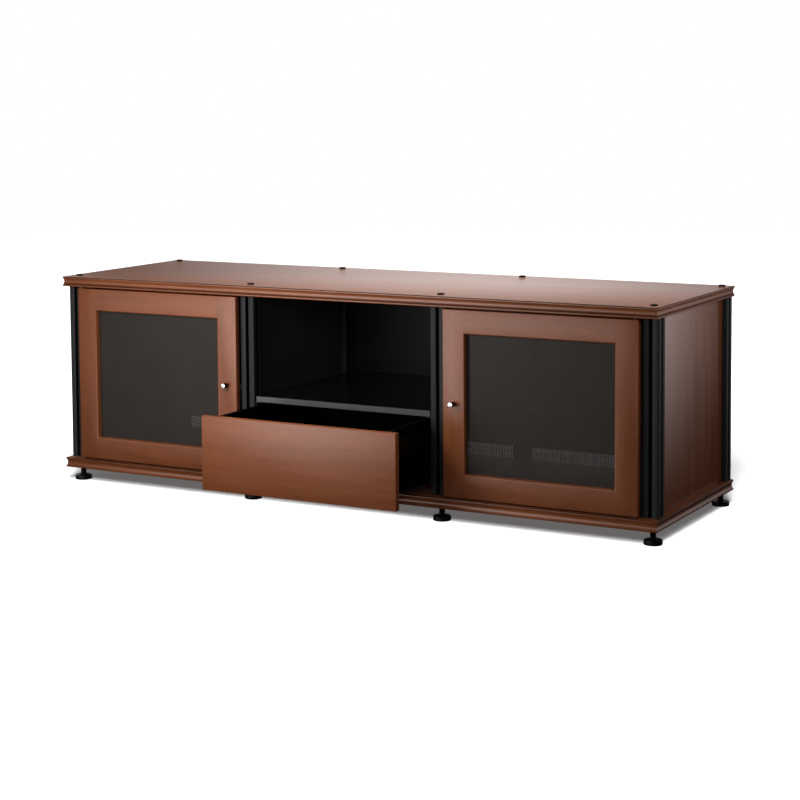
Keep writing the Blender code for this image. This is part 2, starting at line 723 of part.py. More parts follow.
def make_drawer(finish, root):
    carriage = make_empty("drawer_carriage", (0.0, drawer_rest_y, 0.0), root)
    front_height = drawer_front_high - drawer_front_low
    front_width = bay_width + 2 * DRAWER_FRONT_OVERLAP
    front = eased_block(front_width, DOOR_THICKNESS, front_height, DRAWER_FRONT_EASING)
    front_mesh = finish_mesh("drawer_front", front, finish["veneer"])
    front_z = (drawer_front_low + drawer_front_high) / 2
    place("drawer_front", front_mesh, carriage, (0.0, DOOR_THICKNESS / 2, front_z))

    box_start = DOOR_THICKNESS + CLEARANCE
    inner_half = drawer_box_width / 2 - DRAWER_WALL
    wall_mesh = finish_mesh("drawer_side", drawer_wall_shape(DRAWER_BOX_LENGTH), finish["black_box"])
    place("drawer_side_left", wall_mesh, carriage, (-inner_half, box_start, 0.0))
    far_end = (inner_half, box_start + DRAWER_BOX_LENGTH, 0.0)
    place("drawer_side_right", wall_mesh, carriage, far_end, (0.0, 0.0, math.pi))

    back_low = groove_low + groove_height
    back_height = drawer_box_high - back_low
    back = eased_block(2 * (inner_half - CLEARANCE), DRAWER_WALL, back_height, PANEL_EASING)
    back_mesh = finish_mesh("drawer_back", back, finish["black_box"])
    back_y = box_start + DRAWER_BOX_LENGTH - DRAWER_WALL / 2
    place("drawer_back", back_mesh, carriage, (0.0, back_y, back_low + back_height / 2))

    bottom_width = 2 * (inner_half + GROOVE_DEPTH - CLEARANCE)
    bottom_length = DRAWER_BOX_LENGTH - CLEARANCE
    bottom = eased_block(bottom_width, bottom_length, DRAWER_BOTTOM_THICKNESS, PANEL_EASING)
    bottom_mesh = finish_mesh("drawer_bottom", bottom, finish["black_box"])
    bottom_y = box_start + CLEARANCE + bottom_length / 2
    bottom_z = groove_low + CLEARANCE + DRAWER_BOTTOM_THICKNESS / 2
    place("drawer_bottom", bottom_mesh, carriage, (0.0, bottom_y, bottom_z))
    make_slides(finish, root, carriage, box_start)


def channel_section(height, flange, lug_low=None, lug_high=None):
    """A channel seen along Y, its web on x = 0 and its flanges towards +X, centred on z = 0."""
    half = height / 2
    inner = half - SLIDE_METAL
    section = [
        (0.0, -half),
        (flange, -half),
        (flange, -inner),
        (SLIDE_METAL, -inner),
        (SLIDE_METAL, inner),
        (flange, inner),
        (flange, half),
        (0.0, half),
    ]
    if lug_low is not None:
        section += [(0.0, lug_high), (0.0, lug_low)]
    return section


def make_slides(finish, root, carriage, box_start):
    half_lug = LUG_HEIGHT / 2
    fixed_length = post_span_y + POST_SIZE - 2 * RAIL_END_SETBACK
    fixed_section = channel_section(SLIDE_HEIGHT, CHANNEL_FLANGE, -half_lug, half_lug)
    channel = lugged_bar(fixed_section, -half_lug, half_lug, fixed_length, post_span_y)
    channel_mesh = finish_mesh("slide_channel", channel, finish["black_steel"])
    runner_height = SLIDE_HEIGHT - 2 * (SLIDE_METAL + SLIDE_PLAY)
    runner = bmesh.new()
    ends = (0.0, DRAWER_BOX_LENGTH)
    section = channel_section(runner_height, RUNNER_FLANGE)
    rings = [[runner.verts.new((x, y, z)) for x, z in section] for y in ends]
    bridge_rings(runner, rings)
    runner.faces.new(rings[0])
    runner.faces.new(rings[-1])
    runner_mesh = finish_mesh("slide_runner", runner, finish["black_steel"])
    face = bay_width / 2 - CLEARANCE
    flank = drawer_box_width / 2 + CLEARANCE
    place("slide_channel_left", channel_mesh, root, (-face, post_mid_y, slide_mid_z))
    place("slide_channel_right", channel_mesh, root, (face, post_mid_y, slide_mid_z), (0.0, 0.0, math.pi))
    far_end = box_start + DRAWER_BOX_LENGTH
    place("slide_runner_left", runner_mesh, carriage, (-flank, far_end, slide_mid_z), (0.0, 0.0, math.pi))
    place("slide_runner_right", runner_mesh, carriage, (flank, box_start, slide_mid_z))


def build():
    clear_scene()
    finish = make_finishes()
    root = make_empty("console", (0.0, -footprint_mid_y, 0.0))
    pin_points = [hinge_point("left", -1), hinge_point("right", 1)]
    make_boards(finish, root, pin_points)
    make_posts(finish, root)
    make_panels(finish, root)
    make_shelves(finish, root)
    make_doors(finish, root)
    make_drawer(finish, root)


build()
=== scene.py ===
"""Looks for the three-bay media console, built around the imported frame.

Metres, +Z up, the front faces -Y. A piece that stands for a solid keeps its place and outline.
"""

import json
import math

import bmesh
import bpy
from mathutils import Matrix, Vector

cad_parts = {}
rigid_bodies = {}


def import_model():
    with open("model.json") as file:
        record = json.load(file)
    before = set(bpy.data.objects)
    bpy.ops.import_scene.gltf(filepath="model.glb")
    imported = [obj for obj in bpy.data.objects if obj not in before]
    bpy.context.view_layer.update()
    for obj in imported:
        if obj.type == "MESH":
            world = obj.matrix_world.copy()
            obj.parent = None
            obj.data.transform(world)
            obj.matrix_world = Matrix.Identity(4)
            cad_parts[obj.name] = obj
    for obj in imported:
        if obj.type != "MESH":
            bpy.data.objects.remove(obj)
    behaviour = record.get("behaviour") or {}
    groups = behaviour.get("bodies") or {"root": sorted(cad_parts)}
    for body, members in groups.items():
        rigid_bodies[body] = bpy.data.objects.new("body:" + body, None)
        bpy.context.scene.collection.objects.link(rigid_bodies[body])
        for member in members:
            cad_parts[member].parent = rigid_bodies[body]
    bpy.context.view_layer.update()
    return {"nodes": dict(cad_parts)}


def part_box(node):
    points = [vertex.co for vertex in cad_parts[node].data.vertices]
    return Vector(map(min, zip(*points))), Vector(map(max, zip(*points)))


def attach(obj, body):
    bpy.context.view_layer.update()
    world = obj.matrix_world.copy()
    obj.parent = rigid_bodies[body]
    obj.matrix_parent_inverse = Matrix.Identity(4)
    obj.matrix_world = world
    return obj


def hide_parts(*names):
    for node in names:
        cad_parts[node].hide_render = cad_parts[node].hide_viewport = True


# Camera
CAMERA_AZIMUTH = 28.7715
CAMERA_ELEVATION = 4.6887
CAMERA_ROLL = -0.395
CAMERA_TARGET = (0.0390, 0.093, 0.6505)
CAMERA_DISTANCE = 4.8752
FOCAL_LENGTH = 86.694
SENSOR_WIDTH = 36.0
CAMERA_SHIFT = -0.2

# Light levels
FILL_LEVEL = 0.085
FRONT_POWER = 4.5
NEAR_POWER = 6.7
FRONT_RIGHT_POWER = 8.2
TOP_POWER = 21.0
RIGHT_POWER = 0.80
LEFT_POWER = 9.0
REAR_POWER = 15.0
FLOOR_POWER = 1700.0
FRONT_GLOW = 5.8
REAR_GLOW = 1.10
REAR_GLOW_EDGE = 0.09
SIDE_GLOW = 1.8
SIDE_GLOW_EDGE = 0.05

# The backdrop in reflections: its dim parts, and between which directions it fades
GROUND_GLOSS = 0.03
ROOM_GLOSS = 0.12
GROUND_FADE = (-0.05, 0.30)
FRONT_FADE = (-0.15, 0.35)
RIGHT_FADE = (-0.05, 0.25)

# Floor: full shadow out to the first distance, plain white from the second
FLOOR_CENTRE = (0.0, 0.09, 0.0)
FLOOR_RADIUS = 9.0
FLOOR_GREY = 0.8
FLOOR_ROUGHNESS = 0.9
FLOOR_SHADOW_LEVEL = 0.12
FLOOR_FADE = (1.0, 1.9)
DISC_FACETS = 96

# Moulded board edge
LIP_HEIGHT = 0.0040
LIP_EASING = 0.0018
QUIRK_DEPTH = 0.0008
COVE_DEPTH = 0.0031
COVE_STEPS = 18
# How high the darker band at the foot of the top board's hollow reaches: painted shade
HOLLOW_SHADE_HEIGHT = 0.0045

# Slotted post
POST_CORNER_RADIUS = 0.0035
SLOT_WIDTH = 0.008
SLOT_MOUTH_EASING = 0.0013
SLOT_LIP = 0.0045
SLOT_CAVITY_WIDTH = 0.018
SLOT_DEPTH = 0.0115
SLOT_FLOOR_WIDTH = 0.009

# Door frame
MEMBER_WIDTH = 0.0575
FRAME_EASING = 0.0012
FRAME_INNER_RADIUS = 0.0035
REBATE_WIDTH = 0.008
REBATE_DEPTH = 0.0021

# Perforated insert: a honeycomb of cells, each with a hole of as many sides
HOLE_PITCH = 0.0046
HOLE_DIAMETER = 0.0021
CELL_SIDES = 6
CELL_RADIUS = HOLE_PITCH / math.sqrt(3)
CELL_COLUMN_STEP = HOLE_PITCH * math.sqrt(3) / 2
PERFORATED_MARGIN = 0.0055

# Knob
KNOB_BASE_GAP = 0.0001
KNOB_FOOT_RADIUS = 0.00525
KNOB_FOOT_LENGTH = 0.002
KNOB_EASING = 0.0008
KNOB_RING_DEPTH = 0.0003
KNOB_RING_SETBACK = 0.0040

# Black strip behind an end door's hinged edge: a dark piece put in the gap, painted shade
SHADE_STRIP_SETBACK = 0.008
SHADE_STRIP_WIDTH = 0.0095
SHADE_STRIP_THICKNESS = 0.0022
SHADE_STRIP_EASING = 0.00066
SHADE_STRIP_END_GAP = 0.001

# Bolt
BOLT_HEAD_EASING = 0.0010
BOLT_SOCKET_ACROSS = 0.0050
BOLT_SOCKET_DEPTH = 0.0022

# Levelling foot; the heights of the collar, the stem and the thread count from the top of the pad
SOLE_INSET = 0.0022
SOLE_HEIGHT = 0.0012
PAD_EDGE_RADIUS = 0.0010
PAD_HEIGHT = 0.0125
PAD_SHOULDER_RADIUS = 0.0035
COLLAR_RADIUS = 0.0118
COLLAR_FOOT = 0.0004
COLLAR_TOP_RADIUS = 0.0106
COLLAR_TOP = 0.0022
STEM_RADIUS = 0.00725
STEM_FOOT = 0.0026
STEM_TOP_GAP = 0.0002
THREAD_FOOT = 0.0030
THREAD_TOP_GAP = 0.0004
THREAD_PITCH = 0.0018
THREAD_DEPTH = 0.0006

# How finely the shapes are divided
TURNED_FACETS = 48
TURNED_ANGLES = [2 * math.pi * index / TURNED_FACETS for index in range(TURNED_FACETS)]
EASING_STEPS = 3
CORNER_STEPS = 4
RIM_STEPS = 5
ROUNDING_STEPS = 8
SMOOTH_ANGLE = 32.0

# A face is level when its normal is this upright, and cell corners that agree to a micron are one
LEVEL_NORMAL = 0.999
MICRONS_PER_METRE = 1e6

# Cherry
CHERRY_DARK = (0.150, 0.040, 0.012)
CHERRY_MIDDLE = (0.200, 0.058, 0.020)
CHERRY_LIGHT = (0.245, 0.078, 0.030)
PORE_TINT = (0.45, 0.38, 0.35)
PORE_START = 0.66
PORE_FULL = 0.76
PORE_STRENGTH = 0.35
FIGURE_SHARE = 0.55
FIBRE_SHARE = 0.25
FLECK_SHARE = 0.20
CHERRY_ROUGHNESS_SWING = 0.05

# Noise scales across and along the grain
FIGURE_SCALES = (34.0, 3.5)
FIBRE_SCALES = (420.0, 16.0)
FLECK_SCALES = (150.0, 38.0)
PORE_SCALES = (900.0, 60.0)
DRAWN_LINE_SCALES = (2500.0, 4.0)

# Plain and metal finishes: where mottling starts and ends, and how far it swings
MOTTLE_START = 0.3
MOTTLE_END = 0.7
PLAIN_SHADE = 0.15
PLAIN_ROUGHNESS_SWING = 0.04
GRIT_TO_MOTTLE = 60.0
METAL_SHADE = 0.2
METAL_ROUGHNESS_SWING = 0.06

# Shelf laminate
SHELF_GRIT = 700.0
SHELF_BLACK = ((0.004, 0.004, 0.004), (0.006, 0.006, 0.006))
SHELF_GREY = ((0.056, 0.053, 0.055), (0.074, 0.070, 0.072))
SHELF_ROUGHNESS = (0.20, 0.28)
FRONT_FACING = -0.5

# Depth and strength of the fine relief
RELIEF_DEPTH = 0.0002
FIBRE_RELIEF = 0.06
FINE_RELIEF_DEPTH = 0.0001
FINE_RELIEF = 0.03


# Mesh helpers
def finish_piece(name, shape, materials, body, replaced=()):
    """Turns a bmesh in world coordinates into a piece that rides on a body and stands for CAD nodes."""
    bmesh.ops.recalc_face_normals(shape, faces=shape.faces)
    mesh = bpy.data.meshes.new(name)
    shape.to_mesh(mesh)
    shape.free()
    for material in materials:
        mesh.materials.append(material)
    mesh.shade_smooth()
    mesh.set_sharp_from_angle(angle=math.radians(SMOOTH_ANGLE))
    piece = bpy.data.objects.new(name, mesh)
    bpy.context.scene.collection.objects.link(piece)
    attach(piece, body)
    if replaced:
        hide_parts(*replaced)


def bridge(shape, rings, closed=False):
    """Joins each ring of vertices to the next with quads."""
    pairs = list(zip(rings, rings[1:]))
    if closed:
        pairs.append((rings[-1], rings[0]))
    count = len(rings[0])
    for first, second in pairs:
        for index in range(count):
            after = (index + 1) % count
            shape.faces.new((first[index], first[after], second[after], second[index]))


def enclose(shape, rings):
    """Joins the rings of vertices and closes both ends, the last ring last."""
    bridge(shape, rings)
    shape.faces.new(rings[0])
    shape.faces.new(rings[-1])


def arc(centre, radius, start, end, steps):
    """Points on an arc, angles in degrees, both ends included."""
    points = []
    for index in range(steps + 1):
        angle = math.radians(start + (end - start) * index / steps)
        points.append((centre[0] + radius * math.cos(angle), centre[1] + radius * math.sin(angle)))
    return points


def inset_corners(left, bottom, right, top, inset):
    """The corners of a rectangle drawn in on all four sides."""
    return (
        (left + inset, bottom + inset),
        (right - inset, bottom + inset),
        (right - inset, top - inset),
        (left + inset, top - inset),
    )


def ring_about_z(shape, radii, level):
    """A ring of vertices about Z, with a radius for each of the turned facets."""
    ring = []
    for radius, angle in zip(radii, TURNED_ANGLES):
        ring.append(shape.verts.new((radius * math.cos(angle), radius * math.sin(angle), level)))
    return ring


def round_rings(shape, profile):
    """A round ring about Z for each (radius, height) of a profile."""
    return [ring_about_z(shape, [radius] * TURNED_FACETS, height) for radius, height in profile]


def turned(profile, place):
    """A closed solid of revolution about Z, moved into place by a matrix."""
    shape = bmesh.new()
    enclose(shape, round_rings(shape, profile))
    bmesh.ops.transform(shape, matrix=place, verts=shape.verts)
    return shape


def middle(node):
    low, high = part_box(node)
    return (low + high) / 2


# Material helpers
def start_material(name):
    material = bpy.data.materials.new(name)
    material.use_nodes = True
    tree = material.node_tree
    return material, tree, tree.nodes["Principled BSDF"]


def grey(level):
    return (level, level, level)


def noise(tree, scale, detail=2.0, roughness=0.5, stretch=(1.0, 1.0, 1.0)):
    """Noise on object coordinates; the stretch multiplies them first, axis by axis."""
    place = tree.nodes.new("ShaderNodeTexCoord")
    mapping = tree.nodes.new("ShaderNodeMapping")
    mapping.inputs["Scale"].default_value = stretch
    tree.links.new(place.outputs["Object"], mapping.inputs["Vector"])
    node = tree.nodes.new("ShaderNodeTexNoise")
    node.inputs["Scale"].default_value = scale
    node.inputs["Detail"].default_value = detail
    node.inputs["Roughness"].default_value = roughness
    tree.links.new(mapping.outputs["Vector"], node.inputs["Vector"])
    return node.outputs["Fac"]


def grain_noise(tree, axis, scales, detail=2.0, roughness=0.5):
    """Noise drawn out along one axis; the scales are those across and along it."""
    across, along = scales
    stretch = [across] * 3
    stretch["xyz".index(axis)] = along
    return noise(tree, 1.0, detail, roughness, stretch)


def ramp(tree, factor, stops):
    """A colour ramp with (position, colour) stops."""
    node = tree.nodes.new("ShaderNodeValToRGB")
    elements = node.color_ramp.elements
    while len(elements) < len(stops):
        elements.new(0.5)
    for element, (position, colour) in zip(elements, stops):
        element.position = position
        element.color = (*colour, 1.0)
    tree.links.new(factor, node.inputs["Fac"])
    return node.outputs["Color"]


def mottle(tree, pattern, darker, lighter):
    return ramp(tree, pattern, ((MOTTLE_START, darker), (MOTTLE_END, lighter)))


def math_node(tree, operation, first, second):
    node = tree.nodes.new("ShaderNodeMath")
    node.operation = operation
    for value, socket in zip((first, second), node.inputs):
        if isinstance(value, float):
            socket.default_value = value
        else:
            tree.links.new(value, socket)
    return node.outputs["Value"]


def mix_colour(tree, blend, factor, first, second):
    """Blends two colours; the second may be a plain colour."""
    node = tree.nodes.new("ShaderNodeMix")
    node.data_type = "RGBA"
    node.blend_type = blend
    colour_sockets = [socket for socket in node.inputs if socket.type == "RGBA"]
    tree.links.new(factor, node.inputs["Factor"])
    tree.links.new(first, colour_sockets[0])
    if isinstance(second, tuple):
        colour_sockets[1].default_value = (*second, 1.0)
    else:
        tree.links.new(second, colour_sockets[1])
    return next(socket for socket in node.outputs if socket.type == "RGBA")


def spread(tree, value, low, high):
    """Maps the range from 0 to 1 onto the one from low to high."""
    node = tree.nodes.new("ShaderNodeMapRange")
    node.inputs["To Min"].default_value = low
    node.inputs["To Max"].default_value = high
    tree.links.new(value, node.inputs["Value"])
    return node.outputs["Result"]


def smooth_change(tree, value, fade, first_level, last_level):
    """Goes smoothly from one level to another while the value passes through the fade."""
    node = tree.nodes.new("ShaderNodeMapRange")
    node.interpolation_type = "SMOOTHSTEP"
    node.inputs["From Min"].default_value = fade[0]
    node.inputs["From Max"].default_value = fade[1]
    node.inputs["To Min"].default_value = first_level
    node.inputs["To Max"].default_value = last_level
    tree.links.new(value, node.inputs["Value"])
    return node.outputs["Result"]


def bump(tree, shader, height, strength, distance):
    node = tree.nodes.new("ShaderNodeBump")
    node.inputs["Strength"].default_value = strength
    node.inputs["Distance"].default_value = distance
    tree.links.new(height, node.inputs["Height"])
    tree.links.new(node.outputs["Normal"], shader.inputs["Normal"])


def set_surface(tree, shader, colour, pattern, roughness, swing, gloss):
    """Sets a colour, a roughness that swings with a pattern, and a gloss."""
    tree.links.new(colour, shader.inputs["Base Color"])
    tree.links.new(spread(tree, pattern, roughness - swing, roughness + swing), shader.inputs["Roughness"])
    shader.inputs["Specular IOR Level"].default_value = gloss


# Materials
def veneer(name, grain, roughness, gloss, calm=0.20):
    """Lacquered cherry with its grain along one axis: slow figure, fine fibres and short dark pores.

    A larger calm makes the figure fainter.
    """
    material, tree, shader = start_material(name)
    figure = grain_noise(tree, grain, FIGURE_SCALES, detail=3.0, roughness=0.6)
    fibre = grain_noise(tree, grain, FIBRE_SCALES, detail=3.0, roughness=0.65)
    flecks = grain_noise(tree, grain, FLECK_SCALES)
    pores = grain_noise(tree, grain, PORE_SCALES, detail=1.0)
    blend = math_node(tree, "MULTIPLY", figure, FIGURE_SHARE)
    blend = math_node(tree, "ADD", blend, math_node(tree, "MULTIPLY", fibre, FIBRE_SHARE))
    blend = math_node(tree, "ADD", blend, math_node(tree, "MULTIPLY", flecks, FLECK_SHARE))
    stops = ((0.5 - calm, CHERRY_DARK), (0.5, CHERRY_MIDDLE), (0.5 + calm, CHERRY_LIGHT))
    colour = ramp(tree, blend, stops)
    pore_mask = ramp(tree, pores, ((PORE_START, grey(0.0)), (PORE_FULL, grey(PORE_STRENGTH))))
    colour = mix_colour(tree, "MULTIPLY", pore_mask, colour, PORE_TINT)
    set_surface(tree, shader, colour, figure, roughness, CHERRY_ROUGHNESS_SWING, gloss)
    bump(tree, shader, fibre, FIBRE_RELIEF, RELIEF_DEPTH)
    return material


def shaded(tree, pattern, colour, shade):
    """A colour that a pattern makes a little darker and lighter."""
    darker = tuple(channel * (1.0 - shade) for channel in colour)
    lighter = tuple(channel * (1.0 + shade) for channel in colour)
    return mottle(tree, pattern, darker, lighter)


def plain_finish(name, colour, roughness, gloss, grit=600.0, relief=0.05):
    """An even finish with faint mottling, roughness variation and a slight texture."""
    material, tree, shader = start_material(name)
    fine = noise(tree, grit)
    broad = noise(tree, grit / GRIT_TO_MOTTLE, detail=3.0)
    mottled = shaded(tree, broad, colour, PLAIN_SHADE)
    set_surface(tree, shader, mottled, broad, roughness, PLAIN_ROUGHNESS_SWING, gloss)
    bump(tree, shader, fine, relief, RELIEF_DEPTH)
    return material


def drawn_metal(name, colour, roughness, axis, metallic=0.0, gloss=0.5):
    """Metal, bare or black, with fine lines along the axis that it was drawn or extruded on."""
    material, tree, shader = start_material(name)
    lines = grain_noise(tree, axis, DRAWN_LINE_SCALES)
    lined = shaded(tree, lines, colour, METAL_SHADE)
    set_surface(tree, shader, lined, lines, roughness, METAL_ROUGHNESS_SWING, gloss)
    shader.inputs["Metallic"].default_value = metallic
    bump(tree, shader, lines, FINE_RELIEF, FINE_RELIEF_DEPTH)
    return material


def shelf_finish():
    """Black laminate, with the grey band along the front edge picked out by the face's direction."""
    material, tree, shader = start_material("shelf laminate")
    fine = noise(tree, SHELF_GRIT)
    geometry = tree.nodes.new("ShaderNodeNewGeometry")
    split = tree.nodes.new("ShaderNodeSeparateXYZ")
    tree.links.new(geometry.outputs["True Normal"], split.inputs["Vector"])
    front = math_node(tree, "LESS_THAN", split.outputs["Y"], FRONT_FACING)
    black_top = mottle(tree, fine, *SHELF_BLACK)
    grey_band = mottle(tree, fine, *SHELF_GREY)
    tree.links.new(mix_colour(tree, "MIX", front, black_top, grey_band), shader.inputs["Base Color"])
    tree.links.new(spread(tree, fine, *SHELF_ROUGHNESS), shader.inputs["Roughness"])
    bump(tree, shader, fine, FINE_RELIEF, FINE_RELIEF_DEPTH)
    return material


def make_finishes():
    return {
        "board_x": veneer("board cherry along the width", "x", 0.24, 0.5),
        "board_y": veneer("board cherry along the depth", "y", 0.30, 0.4),
        "bay_floor": veneer("dull cherry inside the bays", "x", 0.48, 0.12),
        "veneer_x": veneer("cherry along the width", "x", 0.32, 0.5),
        "veneer_z": veneer("cherry upright", "z", 0.32, 0.5),
        "side_z": veneer("side cherry upright", "z", 0.12, 0.5, calm=0.42),
        # Near-black band on the upper arris, a painted shadow line
        "arris": plain_finish("arris darkened as painted shadow line", (0.016, 0.006, 0.003), 0.45, 0.2),
        # Darker cherry at the foot of the top board's hollow, painted shade
        "hollow_shade": plain_finish("cherry darkened as painted shade in the hollow", (0.070, 0.020, 0.007), 0.40, 0.2),
        "post": drawn_metal("black anodised aluminium", (0.019, 0.019, 0.020), 0.45, "z", gloss=0.2),
        # Slot walls: the post's black made darker, painted shade inside the slots
        "slot": drawn_metal("post black darkened as painted slot shade", grey(0.002), 0.60, "z", gloss=0.1),
        "rail": drawn_metal("black rail", grey(0.012), 0.45, "y", gloss=0.3),
        "slide": drawn_metal("black slide", grey(0.002), 0.45, "y", gloss=0.2),
        "bolt": plain_finish("black bolt", grey(0.004), 0.42, 0.25),
        "foot": plain_finish("black foot", grey(0.006), 0.45, 0.3, relief=0.08),
        "back": plain_finish("black textured back", grey(0.004), 0.60, 0.3, grit=420.0, relief=0.5),
        "divider": plain_finish("black divider", (0.040, 0.039, 0.038), 0.50, 0.3),
        "shelf": shelf_finish(),
        "box": plain_finish("black drawer box", grey(0.001), 0.60, 0.05),
        "mesh": plain_finish("black perforated sheet", (0.025, 0.0195, 0.016), 0.50, 0.3, relief=0.12),
        "pin": drawn_metal("black pin", grey(0.010), 0.40, "z"),
        # One nickel in two copies: the body darkened as painted reflection, the front face lightened as
        # painted highlight
        "knob": drawn_metal("nickel darkened as painted reflection", (0.040, 0.037, 0.034), 0.24, "y", metallic=1.0),
        "knob_face_painted_highlight": drawn_metal("nickel lightened as painted highlight", (0.92, 0.90, 0.87), 0.20, "y", metallic=1.0),
    }


# Boards
BOARD_FINISHES = ("board_x", "board_y", "arris", "hollow_shade", "bay_floor")


def moulded_edge(thickness):
    """(inset, height) points up the edge of a board: lower lip, hollow, upper lip, both lips eased."""
    half_chord = thickness / 2 - LIP_HEIGHT
    sagitta = COVE_DEPTH - QUIRK_DEPTH
    radius = (half_chord ** 2 + sagitta ** 2) / (2 * sagitta)
    opening = math.degrees(math.asin(half_chord / radius))
    hollow = arc((COVE_DEPTH - radius, thickness / 2), radius, -opening, opening, COVE_STEPS)
    lower = arc((LIP_EASING, LIP_EASING), LIP_EASING, 270, 180, EASING_STEPS)
    upper = arc((LIP_EASING, thickness - LIP_EASING), LIP_EASING, 180, 90, EASING_STEPS)
    return lower + [(0.0, LIP_HEIGHT)] + hollow + [(0.0, thickness - LIP_HEIGHT)] + upper


def board_finish(node, face, low, high):
    """The finish on one face of a board: a darker colour as painted shade on the arris and at the foot of
    the top board's hollow.

    The bottom board's level faces are dull, and the moulding's grain runs along each edge.
    """
    if abs(face.normal.z) > LEVEL_NORMAL:
        return "bay_floor" if node == "bottom_board" else "board_x"
    level = face.calc_center_median().z
    # The upper arris takes the painted shadow line
    if level > high.z - LIP_EASING:
        return "arris"
    # The foot of the top board's hollow gets the darker cherry, painted shade
    if node == "top_board" and 0.0 < level - low.z - LIP_HEIGHT < HOLLOW_SHADE_HEIGHT:
        return "hollow_shade"
    return "board_y" if abs(face.normal.x) > abs(face.normal.y) else "board_x"


def make_board(node, finish):
    """A board with its moulded edge all round."""
    low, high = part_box(node)
    shape = bmesh.new()
    rings = []
    for inset, height in moulded_edge(high.z - low.z):
        corners = inset_corners(low.x, low.y, high.x, high.y, inset)
        rings.append([shape.verts.new((x, y, low.z + height)) for x, y in corners])
    enclose(shape, rings)
    for face in shape.faces:
        face.normal_update()
        face.material_index = BOARD_FINISHES.index(board_finish(node, face, low, high))
    materials = [finish[name] for name in BOARD_FINISHES]
    finish_piece(node + "_look", shape, materials, "carcass", [node])


# Posts
def post_section(half):
    """The post's outline: a rounded square with an undercut slot in each face, eased at its mouth."""
    corner = half - POST_CORNER_RADIUS
    easing = SLOT_MOUTH_EASING
    half_slot = SLOT_WIDTH / 2
    half_cavity = SLOT_CAVITY_WIDTH / 2
    half_floor = SLOT_FLOOR_WIDTH / 2
    slot_floor = half - SLOT_DEPTH
    quarter = arc((corner, -corner), POST_CORNER_RADIUS, -45, 0, CORNER_STEPS)
    quarter += arc((half - easing, -half_slot - easing), easing, 0, 90, EASING_STEPS)
    quarter += [
        (half - SLOT_LIP, -half_slot),
        (half - SLOT_LIP, -half_cavity),
        (slot_floor + half_cavity - half_floor, -half_cavity),
        (slot_floor, -half_floor),
    ]
    side = quarter + [(x, -y) for x, y in reversed(quarter)]
    outline = []
    for turn in range(4):
        quarter_turn = Matrix.Rotation(math.pi / 2 * turn, 2)
        outline += [quarter_turn @ Vector(point) for point in side[:-1]]
    return outline


def make_post(node, finish):
    """A slotted post whose slot walls are a darker copy of the post's black, as painted shade."""
    low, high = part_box(node)
    centre = middle(node)
    half = (high.x - low.x) / 2
    section = post_section(half)
    shape = bmesh.new()
    rings = []
    for level in (low.z, high.z):
        outline = [(centre.x + point.x, centre.y + point.y, level) for point in section]
        rings.append([shape.verts.new(place) for place in outline])
    enclose(shape, rings)
    for face in shape.faces:
        offset = face.calc_center_median() - centre
        is_wall = len(face.verts) == 4
        # Faces inside a slot take the darker copy, painted shade
        gets_painted_slot_shade = is_wall and max(abs(offset.x), abs(offset.y)) < half - SLOT_MOUTH_EASING
        face.material_index = int(gets_painted_slot_shade)
    finish_piece(node + "_look", shape, [finish["post"], finish["slot"]], "carcass", [node])


# Doors
def frame_section(thickness):
    """(distance in from the outer edge, depth behind the front) round one frame member."""
    easing = FRAME_EASING
    radius = FRAME_INNER_RADIUS
    inner = MEMBER_WIDTH
    rear = thickness - REBATE_DEPTH
    front_easing = arc((easing, easing), easing, 180, 270, EASING_STEPS)
    rounding = arc((inner - radius, radius), radius, -90, 0, ROUNDING_STEPS)
    rear_easing = arc((easing, thickness - easing), easing, 90, 180, EASING_STEPS)
    rebate = [(inner, rear), (inner - REBATE_WIDTH, rear), (inner - REBATE_WIDTH, thickness)]
    return front_easing + rounding + rebate + rear_easing


def make_door_frame(side, finish):
    """Two upright stiles with two rails between them, and a rounded edge round the opening."""
    node = f"door_frame_{side}"
    low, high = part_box(node)
    shape = bmesh.new()
    rings = []
    for inset, depth in frame_section(high.y - low.y):
        corners = inset_corners(low.x, low.z, high.x, high.z, inset)
        rings.append([shape.verts.new((x, low.y + depth, z)) for x, z in corners])
    bridge(shape, rings, closed=True)
    seams = (low.x + MEMBER_WIDTH, high.x - MEMBER_WIDTH)
    for seam in seams:
        everything = shape.verts[:] + shape.edges[:] + shape.faces[:]
        bmesh.ops.bisect_plane(shape, geom=everything, plane_co=(seam, 0, 0), plane_no=(1, 0, 0))
    for face in shape.faces:
        across = face.calc_center_median().x
        face.material_index = int(seams[0] < across < seams[1])
    materials = [finish["veneer_z"], finish["veneer_x"]]
    finish_piece(node + "_look", shape, materials, f"door_{side}", [node])


def add_hole_cells(shape, front_y, left, bottom, columns, rows):
    """Staggered columns of six-sided cells on a plane facing -Y, each with a hole left open.

    Returns the cells' own corners.
    """
    corners_made = {}

    def corner(x, z):
        key = (round(x * MICRONS_PER_METRE), round(z * MICRONS_PER_METRE))
        if key not in corners_made:
            corners_made[key] = shape.verts.new((x, front_y, z))
        return corners_made[key]

    for column in range(columns):
        stagger = HOLE_PITCH / 2 * (column % 2)
        x = left + CELL_RADIUS + column * CELL_COLUMN_STEP
        for row in range(rows - column % 2):
            z = bottom + HOLE_PITCH / 2 + stagger + row * HOLE_PITCH
            outer = []
            inner = []
            for index in range(CELL_SIDES):
                angle = 2 * math.pi * index / CELL_SIDES
                across = math.cos(angle)
                up = math.sin(angle)
                outer.append(corner(x + CELL_RADIUS * across, z + CELL_RADIUS * up))
                hole_x = x + HOLE_DIAMETER / 2 * across
                hole_z = z + HOLE_DIAMETER / 2 * up
                inner.append(shape.verts.new((hole_x, front_y, hole_z)))
            bridge(shape, [outer, inner])
    return set(corners_made.values())


